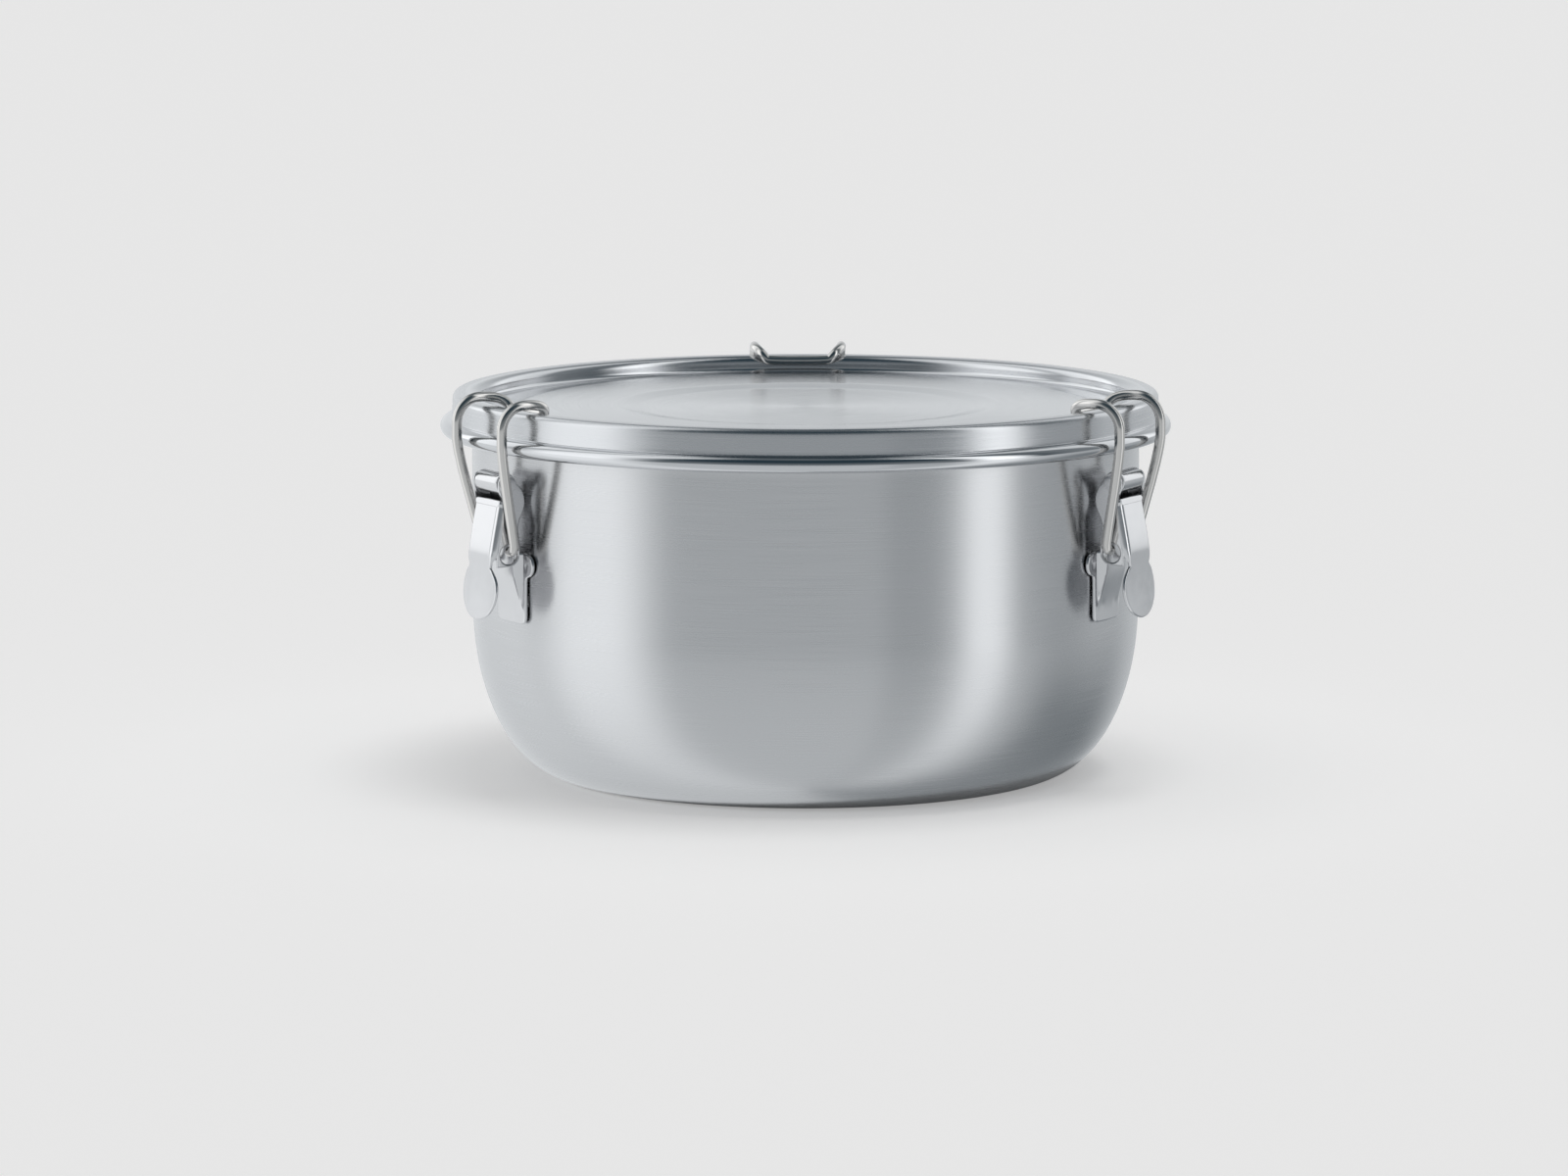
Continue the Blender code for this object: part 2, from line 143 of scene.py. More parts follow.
def steel(name, colour, roughness, spread, grain, streak, anisotropic, finishes=()):
    """Stainless steel. Noise stretched to the grain (millimetres along U and V) varies its
    roughness by spread and its brightness by streak, and an anisotropic highlight is drawn out
    across the brushing. Each finish of (start, end, change) brings in its change of roughness
    between those distances along U, and keeps it from there on."""
    material = bpy.data.materials.new(name)
    material.use_nodes = True
    nodes, links = material.node_tree.nodes, material.node_tree.links
    shader = nodes["Principled BSDF"]
    shader.inputs["Metallic"].default_value = 1.0
    shader.inputs["Anisotropic"].default_value = anisotropic
    course = nodes.new("ShaderNodeUVMap")
    course.uv_map = "course"
    stretch = nodes.new("ShaderNodeMapping")
    stretch.inputs["Scale"].default_value = (1 / grain[0], 1 / grain[1], 1.0)
    noise = nodes.new("ShaderNodeTexNoise")
    noise.inputs["Scale"].default_value = 1.0
    noise.inputs["Detail"].default_value = NOISE_DETAIL
    links.new(course.outputs["UV"], stretch.inputs["Vector"])
    links.new(stretch.outputs["Vector"], noise.inputs["Vector"])
    rough = nodes.new("ShaderNodeMapRange")
    rough.inputs["From Min"].default_value = NOISE_SPAN[0]
    rough.inputs["From Max"].default_value = NOISE_SPAN[1]
    rough.inputs["To Min"].default_value = roughness - spread
    rough.inputs["To Max"].default_value = roughness + spread
    links.new(noise.outputs["Fac"], rough.inputs["Value"])
    roughened = rough.outputs["Result"]
    for start, end, change in finishes:
        along = nodes.new("ShaderNodeSeparateXYZ")
        links.new(course.outputs["UV"], along.inputs["Vector"])
        added = nodes.new("ShaderNodeMapRange")
        added.inputs["From Min"].default_value = start
        added.inputs["From Max"].default_value = end
        added.inputs["To Max"].default_value = change
        links.new(along.outputs["X"], added.inputs["Value"])
        total = nodes.new("ShaderNodeMath")
        links.new(roughened, total.inputs[0])
        links.new(added.outputs["Result"], total.inputs[1])
        roughened = total.outputs["Value"]
    links.new(roughened, shader.inputs["Roughness"])
    tone = nodes.new("ShaderNodeMix")
    tone.data_type = "RGBA"
    tone.inputs["A"].default_value = (*[channel * (1 - streak) for channel in colour], 1.0)
    tone.inputs["B"].default_value = (*[channel * (1 + streak) for channel in colour], 1.0)
    links.new(noise.outputs["Fac"], tone.inputs["Factor"])
    links.new(tone.outputs["Result"], shader.inputs["Base Color"])
    if anisotropic:
        tangent = nodes.new("ShaderNodeTangent")
        tangent.direction_type = "UV_MAP"
        tangent.uv_map = "course"
        links.new(tangent.outputs["Tangent"], shader.inputs["Tangent"])
    return material


inner_wall = WALL_RADIUS - SHEET
base_centre = (BASE_RADIUS, BASE_RISE)
bend_centre = (WALL_RADIUS + FLANGE_BEND, BOWL_HEIGHT - SHEET - FLANGE_BEND)
bead_centre = (BEAD_OUT - BEAD_RADIUS, BOWL_HEIGHT - BEAD_RADIUS)
bowl_outline = np.concatenate([
    [(0, SHEET)],
    arc(base_centre, (inner_wall - BASE_RADIUS, BASE_RISE - SHEET), -90, 0, 40),
    arc(bend_centre, FLANGE_BEND + SHEET, 180, 90, 10),
    arc(bead_centre, BEAD_RADIUS, 90, BEAD_END, 20),
    arc(bend_centre, FLANGE_BEND, 90, 180, 8),
    arc(base_centre, (WALL_RADIUS - BASE_RADIUS, BASE_RISE), 0, -90, 40),
    [(0, 0)],
])
bowl_steel = steel("bowl_steel", BOWL_STEEL, roughness=0.25, spread=0.04, grain=(0.35, 30.0),
                   streak=0.05, anisotropic=0.75)
bowl_skin = skin(spun(refined(bowl_outline, step=2.0)))
piece("bowl_shell", [bowl_skin], bowl_steel, "bowl", "bowl_steel", "bowl")

# Lid
# One pressed disc of the same sheet: a sunk plate with a lower disc in its middle, a gutter, a
# raised rim that holds the seal, and an upright band. Below the band a sharp crease turns out into
# a round roll, which hangs round the bowl's flange.
LID_HEIGHT = 8.4
HEM_RADIUS = 2.0
HEM_OUT = 90.67
HEM_START = 88
HEM_END = -120
RIM_HEIGHT = 8.3
BAND_RADIUS = 87.8
BAND_HEIGHT = 6.07
BAND_DRAFT = 0.3
CREASE_ROUND = 0.2
RIM_OUTER_ROUND = 1.4
RIM_OUTER_END = 3
RIM_INNER_ROUND = 2.0
RECESS_RADIUS = 81.6
GUTTER_DEPTH = 4.2
GUTTER_ROUND = 1.2
GUTTER_WIDTH = 8.9
PLATE_STEP = 2.0
PLATE_RISE = 0.8
DISC_RADIUS = 41.0
DISC_SLOPE = 6.0
DISC_DROP = 0.7
LID_STEEL = (0.645, 0.655, 0.670)
BAND_BRUSHING = 0.06
HEM_POLISH = -0.15
FINISH_EDGE = 0.3
PAST_BAND = 0.02


def rounded(corners, passes):
    """Corners softened by cutting: each pass swaps a stretch for its points a quarter and three
    quarters along."""
    for _ in range(passes):
        quarter = corners[:-1] * 0.75 + corners[1:] * 0.25
        three_quarters = corners[:-1] * 0.25 + corners[1:] * 0.75
        cuts = np.stack([quarter, three_quarters], axis=1).reshape(-1, corners.shape[1])
        corners = np.concatenate([corners[:1], cuts, corners[-1:]])
    return corners


def beside(outline, distance):
    """The outline moved sideways, to its right: each point goes along the normal of its neighbours'
    chord."""
    ahead = np.gradient(outline, axis=0)
    ahead /= np.linalg.norm(ahead, axis=1, keepdims=True)
    return outline + distance * np.stack([ahead[:, 1], -ahead[:, 0]], axis=1)


rim_top = BOWL_HEIGHT + GAP + LID_HEIGHT
hem_z = rim_top - RIM_HEIGHT
gutter_z = rim_top - GUTTER_DEPTH
plate_z = gutter_z + PLATE_RISE
disc_z = plate_z - DISC_DROP
step_out = RECESS_RADIUS - GUTTER_WIDTH
gutter_centre = (RECESS_RADIUS - GUTTER_ROUND, gutter_z + GUTTER_ROUND)
rim_inner_centre = (RECESS_RADIUS + RIM_INNER_ROUND, rim_top - RIM_INNER_ROUND)
rim_outer_centre = (BAND_RADIUS - BAND_DRAFT - RIM_OUTER_ROUND, rim_top - RIM_OUTER_ROUND)
crease_centre = (BAND_RADIUS + CREASE_ROUND, rim_top - BAND_HEIGHT)
hem_centre = (HEM_OUT - HEM_RADIUS, hem_z)
edge_centre = arc(hem_centre, HEM_RADIUS - SHEET / 2, HEM_END, HEM_END, 0)[0]
plate_corners = np.array([
    (0, disc_z),
    (DISC_RADIUS, disc_z),
    (DISC_RADIUS + DISC_SLOPE, plate_z),
    (step_out - PLATE_STEP, plate_z),
    (step_out, gutter_z),
    (RECESS_RADIUS - GUTTER_ROUND, gutter_z),
])
lid_upper = refined(np.concatenate([
    rounded(refined(plate_corners, step=2.6), passes=2)[:-1],
    arc(gutter_centre, GUTTER_ROUND, -90, 0, 10),
    arc(rim_inner_centre, RIM_INNER_ROUND, 180, 90, 12),
    arc(rim_outer_centre, RIM_OUTER_ROUND, 90, RIM_OUTER_END, 12),
    arc(crease_centre, CREASE_ROUND, 180, 180 + HEM_START, 6),
    arc(hem_centre, HEM_RADIUS, HEM_START, HEM_END, 36),
]), step=0.8)
lid_lower = beside(lid_upper, SHEET)
lid_lower[0] = (0, disc_z - SHEET)
lid_edge = arc(edge_centre, SHEET / 2, HEM_END, HEM_END - 180, 6)
lid_outline = np.concatenate([lid_upper, lid_edge, lid_lower[::-1]])
# The rim and band are brushed rougher than the plate, and the roll is polished. Each finish starts
# at its own distance from the middle, measured along the sheet.
lid_steps = np.linalg.norm(np.diff(lid_upper, axis=0), axis=1)
rim_start = lid_steps[:np.argmax(lid_upper[:, 0] > rim_inner_centre[0])].sum()
hem_start = lid_steps[:np.argmax(lid_upper[:, 0] > BAND_RADIUS + PAST_BAND)].sum()
lid_finishes = [
    (rim_start, rim_start + FINISH_EDGE, BAND_BRUSHING),
    (hem_start, hem_start + FINISH_EDGE, HEM_POLISH),
]
lid_steel = steel("lid_steel", LID_STEEL, roughness=0.19, spread=0.05, grain=(0.35, 40.0),
                  streak=0.05, anisotropic=0.6, finishes=lid_finishes)
piece("lid_shell", [skin(spun(lid_outline))], lid_steel, "lid", "lid_steel", "lid")

# Seal
# A moulded silicone ring that fills the lid's hollow rim. It is pushed into the lid, and presses on
# the bowl's flange with a rounded foot.
SEAL_ROUND = 1.0
SEAL_BULGE = 0.5
FOOT_POINTS = 17
SILICONE = (0.80, 0.80, 0.78)
SILICONE_SHADE = 0.94
SILICONE_ROUGHNESS = (0.48, 0.62)
SILICONE_GRAIN = 600.0


def silicone(name, colour):
    """Matt silicone: fine noise in the object's own coordinates varies its colour and roughness."""
    material = bpy.data.materials.new(name)
    material.use_nodes = True
    nodes, links = material.node_tree.nodes, material.node_tree.links
    shader = nodes["Principled BSDF"]
    place = nodes.new("ShaderNodeTexCoord")
    noise = nodes.new("ShaderNodeTexNoise")
    noise.inputs["Scale"].default_value = SILICONE_GRAIN
    links.new(place.outputs["Object"], noise.inputs["Vector"])
    tone = nodes.new("ShaderNodeMix")
    tone.data_type = "RGBA"
    tone.inputs["A"].default_value = (*[channel * SILICONE_SHADE for channel in colour], 1.0)
    tone.inputs["B"].default_value = (*colour, 1.0)
    links.new(noise.outputs["Fac"], tone.inputs["Factor"])
    links.new(tone.outputs["Result"], shader.inputs["Base Color"])
    rough = nodes.new("ShaderNodeMapRange")
    rough.inputs["To Min"].default_value = SILICONE_ROUGHNESS[0]
    rough.inputs["To Max"].default_value = SILICONE_ROUGHNESS[1]
    links.new(noise.outputs["Fac"], rough.inputs["Value"])
    links.new(rough.outputs["Result"], shader.inputs["Roughness"])
    return material


seal_in = RECESS_RADIUS + SHEET + GAP
seal_out = BAND_RADIUS - SHEET - GAP
seal_top = rim_top - SHEET - GAP
seal_foot = BOWL_HEIGHT + GAP
# The foot is a parabola: its height grows with the square of the distance from its middle.
across_foot = np.linspace(1, -1, FOOT_POINTS)[:, None]
foot_radius = (seal_in + seal_out) / 2 + across_foot * (seal_out - seal_in) / 2
foot_height = seal_foot + SEAL_BULGE * across_foot**2
seal_outline = np.concatenate([
    arc((seal_in + SEAL_ROUND, seal_top - SEAL_ROUND), SEAL_ROUND, 180, 90, 8),
    arc((seal_out - SEAL_ROUND, seal_top - SEAL_ROUND), SEAL_ROUND, 90, 0, 8),
    np.concatenate([foot_radius, foot_height], axis=1),
])
seal_skin = skin(spun(seal_outline), rows_meet=True)
piece("seal_ring", [seal_skin], silicone("silicone", SILICONE), "lid", "seal", "lid_seal")

# Latch plates
# Three pressed steel plates, each spot-welded to the wall by its foot. A tongue swells out of the
# foot between two sloping cheeks, runs up the wall and curls over to hold the hinge pin.
LATCH_ANGLES = {"right": -30.0, "back": 90.0, "left": 210.0}
PLATE_SHEET = 0.9
EDGE_ROUND = 0.28
EDGE_CROWN = 0.05
EDGE_STEPS = 7
CORE_SHARE = 0.8
CORE_LIMIT = 0.99
PIVOT_R = 88.0
PIVOT_Z = 77.5
WING_Z = 57.5
WING_MID = 7.0
WING_RADIUS = 3.0
WING_END = -60
FOOT_HALF = 6.9
FOOT_LENGTH = 14.5
FOOT_ROUND = 2.0
FOOT_COLUMNS = 81
# Two points of the foot's neck, from its side at the height of the wing's lowest edge.
NECK = ((0.2, -0.2), (0.0, -1.2))
SWELL_LENGTH = 12.5
SWELL_HALF = 6.4
SWELL_SINK = 0.04
CHEEK = 1.3
TONGUE_HALF = 5.45
CURL_RADIUS = 2.25
CURL_END = -75
WELD_SPOTS = ((-3.4, 47.2), (3.4, 47.2))
WELD_RADIUS = 1.1
WELD_DENT = 0.12
LATCH_STEEL = (0.735, 0.735, 0.745)


def placed(points, side):
    """Points given as (out, across, up) at a latch, turned round the container's axis to that
    latch."""
    a = np.radians(LATCH_ANGLES[side])
    out, across, up = np.moveaxis(points, -1, 0)
    x = out * np.cos(a) - across * np.sin(a)
    y = out * np.sin(a) + across * np.cos(a)
    return np.stack([x, y, up], axis=-1)


def smooth_step(value, start, end):
    """0 before start and 1 after end, with the cubic 3 s^2 - 2 s^3 between them."""
    s = np.clip((value - start) / (end - start), 0, 1)
    return s * s * (3 - 2 * s)


def pressed(side, edge, thickness, core, columns):
    """A pressed blank as (across, up, depth) points, from half of its outline, listed from its top
    to its bottom.

    Each row runs straight across the front to a point one edge radius inside the outline, then
    through a quarter turn a: edge sin a along the outline's normal, and edge (1 - cos a) deep. It
    comes back one thickness deeper. The columns stand upright out to the core's half width, where
    the row is that wide, and spread beyond it."""
    ahead = np.gradient(side, axis=0)
    normal = np.stack([-ahead[:, 1], ahead[:, 0]], axis=1)
    normal /= np.linalg.norm(ahead, axis=1, keepdims=True)
    normal[0], normal[-1] = (0, 1), (0, -1)
    edge = np.broadcast_to(edge, len(side))[:, None]
    inner = side - edge * normal
    share = np.linspace(-1, 1, columns)
    reach = np.minimum(core, CORE_LIMIT * inner[:, :1])
    spread = np.sign(share) * np.clip(np.abs(share) - CORE_SHARE, 0, None) / (1 - CORE_SHARE)
    across = reach * np.clip(share / CORE_SHARE, -1, 1) + (inner[:, :1] - reach) * spread
    level = np.zeros_like(across)
    flat = np.stack([across, inner[:, 1:] + level, level], axis=-1)
    a = np.linspace(0, np.pi / 2, EDGE_STEPS + 1)[1:]
    layers = []
    for start, turn in ((0.0, edge), (thickness, edge - thickness)):
        bend = inner[:, None] + np.abs(turn)[:, None] * np.sin(a)[:, None] * normal[:, None]
        right = np.concatenate([bend, (start + turn * (1 - np.cos(a)))[..., None]], axis=-1)
        left = right[:, ::-1] * (-1, 1, 1)
        layers.append(np.concatenate([left, flat + (0, 0, start), right], axis=1))
    front, back = layers
    return np.concatenate([front, back[:, ::-1]], axis=1)


def carried(path, ups, section):
    """A closed section of (a, b) points carried along a path: path + a * up + b * side, where up is
    the given direction made square to the path, and side = path direction x up."""
    ahead = np.gradient(path, axis=0)
    ahead /= np.linalg.norm(ahead, axis=1, keepdims=True)
    ups = ups - ahead * (ups * ahead).sum(axis=1, keepdims=True)
    ups /= np.linalg.norm(ups, axis=1, keepdims=True)
    sides = np.cross(ahead, ups)
    a, b = section[None, :, :1], section[None, :, 1:]
    return path[:, None] + a * ups[:, None] + b * sides[:, None]


def bar(half_thick, half_wide, corner):
    """The section of a flat bar with rounded corners, as a closed loop of (thickness, width)
    points."""
    x, y = half_thick - corner, half_wide - corner
    corners = [
        arc((x, y), corner, 0, 90, 4),
        arc((-x, y), corner, 90, 180, 4),
        arc((-x, -y), corner, 180, 270, 4),
        arc((x, -y), corner, 270, 360, 4),
    ]
    return refined(np.concatenate(corners), step=1.0)


wing_top = WING_Z + WING_RADIUS
foot_bottom = WING_Z - FOOT_LENGTH
foot_corner = FOOT_HALF - FOOT_ROUND
foot_side = refined(rounded(np.concatenate([
    np.linspace((0, wing_top + EDGE_CROWN), (WING_MID, wing_top), 8)[:-1],
    arc((WING_MID, WING_Z), WING_RADIUS, 90, WING_END, 18),
    np.add(NECK, (FOOT_HALF, WING_Z - WING_RADIUS)),
    arc((foot_corner, foot_bottom + FOOT_ROUND), FOOT_ROUND, 0, -90, 8),
    np.linspace((foot_corner, foot_bottom), (0, foot_bottom - EDGE_CROWN), 6)[1:],
]), passes=1), step=0.5)
foot_blank = pressed(foot_side, PLATE_SHEET / 2, PLATE_SHEET, SWELL_HALF, FOOT_COLUMNS)
across, up, depth = np.moveaxis(foot_blank, -1, 0)
# The foot is bent to the wall. Its middle swells out to just behind the tongue's front, and falls
# away down a cheek on either side.
foot_front = np.sqrt((WALL_RADIUS + GAP + PLATE_SHEET) ** 2 - across**2)
swell_front = PIVOT_R - CURL_RADIUS + PLATE_SHEET / 2 - SWELL_SINK
swell_up = smooth_step(up, WING_Z - SWELL_LENGTH, WING_Z)
swell_across = 1 - smooth_step(np.abs(across), SWELL_HALF - CHEEK, SWELL_HALF)
foot_out = foot_front + (swell_front - foot_front) * (swell_up * swell_across) - depth
# Each weld spot is a shallow dent: dent e^(-d^2), where d is the distance from its middle over its
# radius.
for weld_across, weld_up in WELD_SPOTS:
    weld_squared = (across - weld_across) ** 2 + (up - weld_up) ** 2
    foot_out = foot_out - WELD_DENT * np.exp(-weld_squared / WELD_RADIUS**2)
foot = np.stack([foot_out, across, up], axis=-1)

curl = arc((PIVOT_R, PIVOT_Z), CURL_RADIUS, 180, CURL_END, 40)
tongue_line = refined(np.concatenate([[(PIVOT_R - CURL_RADIUS, WING_Z)], curl]), step=1.0)
tongue_path = np.stack([tongue_line[:, 0], np.zeros(len(tongue_line)), tongue_line[:, 1]], axis=-1)
tongue_ahead = np.gradient(tongue_path, axis=0)
tongue_ups = np.stack([tongue_ahead[:, 2], tongue_ahead[:, 1], -tongue_ahead[:, 0]], axis=-1)
tongue = carried(tongue_path, tongue_ups, bar(PLATE_SHEET / 2, TONGUE_HALF, EDGE_ROUND))

latch_steel = steel("latch_steel", LATCH_STEEL, roughness=0.16, spread=0.04, grain=(2.5, 2.5),
                    streak=0.03, anisotropic=0.0)
for side in LATCH_ANGLES:
    skins = [skin(placed(foot, side)), skin(placed(tongue, side), capped=True)]
    plate_node = "latch_plate_" + side
    piece("latch_plate_shell_" + side, skins, latch_steel, "bowl", "latch_steel", plate_node)

# Hinge pins
# A short steel pin through each plate's curl. It is riveted over into a low dome outside each of the
# lever's ears, so it stays with the plate while the lever turns.
PIN_RADIUS = 1.5
PIN_HEAD_RADIUS = 1.9
PIN_HEAD = 0.5
PIN_HEAD_EDGE = 0.3
PIN_TURN_STEPS = 32
RUN_GAP = 0.35
EAR_OUT = 6.6

head_start = EAR_OUT + RUN_GAP
pin_half = np.concatenate([
    arc((0, head_start + PIN_HEAD_EDGE), (PIN_HEAD_RADIUS, PIN_HEAD - PIN_HEAD_EDGE), 90, 0, 10),
    [(PIN_HEAD_RADIUS, head_start), (PIN_RADIUS, head_start)],
])
pin_outline = refined(np.concatenate([pin_half, pin_half[::-1] * (1, -1)]), step=0.5)
pin_out, pin_up, pin_across = np.moveaxis(spun(pin_outline, PIN_TURN_STEPS), -1, 0)
pin = np.stack([PIVOT_R + pin_out, pin_across, PIVOT_Z + pin_up], axis=-1)
for side in LATCH_ANGLES:
    skins = [skin(placed(pin, side))]
    pin_node = "hinge_pin_" + side
    piece("hinge_pin_shell_" + side, skins, latch_steel, "bowl", "latch_steel", pin_node)

# Levers
# Each lever is one blank of steel pressed into a channel: a leaning face with a waist and a round
# paddle to pull, bent back into two ears. The ears turn on the pin, and an eyelet in each holds an
# end of the wire.
LEVER_SHEET = 0.8
LEVER_TOP = -3.9
LEVER_COLUMNS = 33
LINK_DROP = -16.4
# Where the side narrows: two points about the link, from the ear's outer side, and one above the
# waist.
SHOULDER = ((0.0, 0.8), (-0.1, -0.6))
WAIST_EASE = (0.1, 0.4)
WAIST_DROP = -19.6
WAIST_HALF = 5.5
CORE_INSET = 0.6
PADDLE_DROP = -26.0
PADDLE_HALF = 8.3
PADDLE_RISE = 7.2
PADDLE_BLEND = 4
PADDLE_CROWN = 0.45
CROWN_EASE = 4.0
BEND_ROUND = 1.8
TOP_ROUND = 1.5
# The face's line from the paddle's tip to the top, as (out, up) from the pin.
FACE_OUT = 4.5
FACE_TOP_OUT = 2.0
FACE_LINE = (
    (5.8, -34.0), (5.7, -33.2), (4.9, -26.0), (FACE_OUT, -20.6), (FACE_OUT, -18.6),
    (FACE_OUT, LINK_DROP), (FACE_TOP_OUT, LEVER_TOP), (1.9, -3.4),
)
# The ear's line from the face, round the pin and down the back to the eyelet, as (out, up).
EAR_BOTTOM = -20.15
EAR_LINE = (
    (2.5, -2.2), (2.7, 0.2), (2.0, 1.9), (0.6, 2.2), (-0.6, 0.8), (-2.4, 0.3), (-4.0, -1.4),
    (-4.8, -4.2), (-4.2, -6.8), (-2.9, -9.4), (-2.8, -11.6), (-3.3, -14.0), (-3.3, -16.0),
)
EAR_INSET = 0.01
EAR_RINGS = 10
EAR_EDGE_POINTS = 7
EYELET = (-0.2, -17.05)
EYELET_RADIUS = 2.4
EYELET_RING = 3.1


def holed(outline, middle, hole, thickness):
    """A flat plate with a round hole as (out, up, depth) points: rows spread evenly from the hole to
    the outline, and a quarter turn a rounds both edges over half the thickness. The back repeats the
    front in reverse order."""
    outline = refined(np.concatenate([outline, outline[:1]]), step=0.4)[:-1]
    ahead = np.roll(outline, -1, axis=0) - np.roll(outline, 1, axis=0)
    normal = np.stack([ahead[:, 1], -ahead[:, 0]], axis=1)
    normal /= np.linalg.norm(ahead, axis=1, keepdims=True)
    edge = thickness / 2
    inner = outline - edge * normal
    spoke = (inner - middle) / np.linalg.norm(inner - middle, axis=1, keepdims=True)
    a = np.linspace(0, np.pi / 2, EAR_EDGE_POINTS)[:, None, None]
    depth = edge * (1 - np.cos(a)) + np.zeros((EAR_EDGE_POINTS, len(outline), 1))
    hole_turn = middle + spoke * (hole + edge * (1 - np.sin(a)))
    hole_edge = np.concatenate([hole_turn, depth], axis=-1)[::-1]
    start = middle + spoke * (hole + edge)
    field = start + np.linspace(0, 1, EAR_RINGS)[1:-1, None, None] * (inner - start)
    field = np.concatenate([field, np.zeros_like(field[..., :1])], axis=-1)
    rim = np.concatenate([inner + normal * edge * np.sin(a), depth], axis=-1)
    front = np.concatenate([hole_edge, field, rim])
    return np.concatenate([front, front[::-1] * (1, 1, -1) + (0, 0, thickness)])


top_corner = EAR_OUT - TOP_ROUND
paddle_top = np.degrees(np.arccos(WAIST_HALF / PADDLE_HALF)) + PADDLE_BLEND
lever_side = refined(rounded(np.concatenate([
    np.linspace((0, LEVER_TOP + EDGE_CROWN), (top_corner, LEVER_TOP), 8)[:-1],
    arc((top_corner, LEVER_TOP - TOP_ROUND), TOP_ROUND, 90, 0, 10),
    np.add(SHOULDER, (EAR_OUT, LINK_DROP)),
    [np.add(WAIST_EASE, (WAIST_HALF, WAIST_DROP))],
    arc((0, PADDLE_DROP), (PADDLE_HALF, PADDLE_RISE), paddle_top, -90, 30),
]), passes=2), step=0.5)
# The long sides are bent back to the ears. At the top and below the eyelets the bend dies out into a
# plain round edge.
plain_edge = LEVER_SHEET / 2
bend_share = smooth_step(-lever_side[:, 1], -LEVER_TOP, TOP_ROUND - LEVER_TOP)
bend_share = bend_share * smooth_step(lever_side[:, 1], WAIST_DROP, LINK_DROP)
lever_edge = plain_edge + (BEND_ROUND - plain_edge) * bend_share
lever_core = WAIST_HALF - CORE_INSET
lever_blank = pressed(lever_side, lever_edge, LEVER_SHEET, lever_core, LEVER_COLUMNS)
across, up, depth = np.moveaxis(lever_blank, -1, 0)
# The paddle is crowned: its sides fall back with the square of the distance across.
crown_share = smooth_step(-up, -WAIST_DROP, CROWN_EASE - WAIST_DROP)
crown = PADDLE_CROWN * (across / PADDLE_HALF) ** 2 * crown_share
face_line = rounded(np.array(FACE_LINE), passes=3)
face_out = PIVOT_R + np.interp(up, face_line[:, 1], face_line[:, 0])
lever_face = np.stack([face_out - crown - depth, across, PIVOT_Z + up], axis=-1)

ear_front = BEND_ROUND - plain_edge
ear_top = (FACE_TOP_OUT - ear_front, LEVER_TOP)
ear_outline = np.concatenate([
    [(FACE_OUT - ear_front, EAR_BOTTOM), (FACE_OUT - ear_front, LINK_DROP), ear_top],
    rounded(np.array([ear_top, *EAR_LINE]), passes=2)[1:],
    arc(EYELET, EYELET_RING, 170, 270, 12),
])
ear_plate = holed(ear_outline, EYELET, EYELET_RADIUS, LEVER_SHEET - 2 * EAR_INSET)
out, up, depth = np.moveaxis(ear_plate, -1, 0)
ear_across = EAR_OUT - EAR_INSET - depth
ears = [np.stack([PIVOT_R + out, hand * ear_across, PIVOT_Z + up], axis=-1) for hand in (-1, 1)]
for side in LATCH_ANGLES:
    skins = [skin(placed(lever_face, side))] + [skin(placed(ear, side)) for ear in ears]
    lever_node = "latch_lever_" + side
    piece("lever_shell_" + side, skins, latch_steel, "lever_" + side, "latch_steel", lever_node)

# Wires
# One length of drawn steel wire for each latch: its two ends turn in through the lever's eyelets,
# the legs rise past the rolled edges, and a crossbar hooks over the lid's rim.
WIRE_RADIUS = 1.25
WIRE_BEND = 1.9
LINK_R = 87.3
LINK_Z = 61.1
EAR_IN = 5.8
BAIL_HALF = 11.3
ARCH_RADIUS = 6.2
HOOK_GAP = 0.85
HOOK_CORNER = 3.4
HOOK_EASE = 1.3
CROSSBAR_GAP = 1.45
CROSSBAR_DROP = 1.0
BEND_STEPS = 4
ARCH_STEPS = 8
HOOK_STEPS = 10
WIRE_SIDES = 24
WIRE_STEEL = (0.690, 0.675, 0.655)

leg_foot = EAR_OUT + RUN_GAP + WIRE_RADIUS
leg_r = HEM_OUT + RUN_GAP + WIRE_RADIUS
arch_r = leg_r - ARCH_RADIUS
wire_top = rim_top + HOOK_GAP + WIRE_RADIUS
bar_r = RECESS_RADIUS - CROSSBAR_GAP - WIRE_RADIUS
foot_bend = arc((leg_foot - WIRE_BEND, LINK_Z + WIRE_BEND), WIRE_BEND, -90, 0, BEND_STEPS)
arch = arc((arch_r, wire_top - ARCH_RADIUS), ARCH_RADIUS, 0, 90, ARCH_STEPS)
# The hook runs in over the rim as sin a, and turns along it as 1 - cos a while it sinks with a power
# of that.
a = np.radians(np.linspace(0, 90, HOOK_STEPS + 1))[1:]
hook_in = arch_r - (arch_r - bar_r) * np.sin(a)
hook_across = BAIL_HALF - HOOK_CORNER * (1 - np.cos(a))
hook_up = wire_top - (wire_top - rim_top + CROSSBAR_DROP) * (1 - np.cos(a)) ** HOOK_EASE
half_wire = np.concatenate([
    [(LINK_R, EAR_IN, LINK_Z)],
    np.stack([np.full(len(foot_bend), LINK_R), foot_bend[:, 0], foot_bend[:, 1]], axis=1),
    [(leg_r, BAIL_HALF, hem_z - HEM_RADIUS)],
    np.stack([arch[:, 0], np.full(len(arch), BAIL_HALF), arch[:, 1]], axis=1),
    np.stack([hook_in, hook_across, hook_up], axis=1),
])
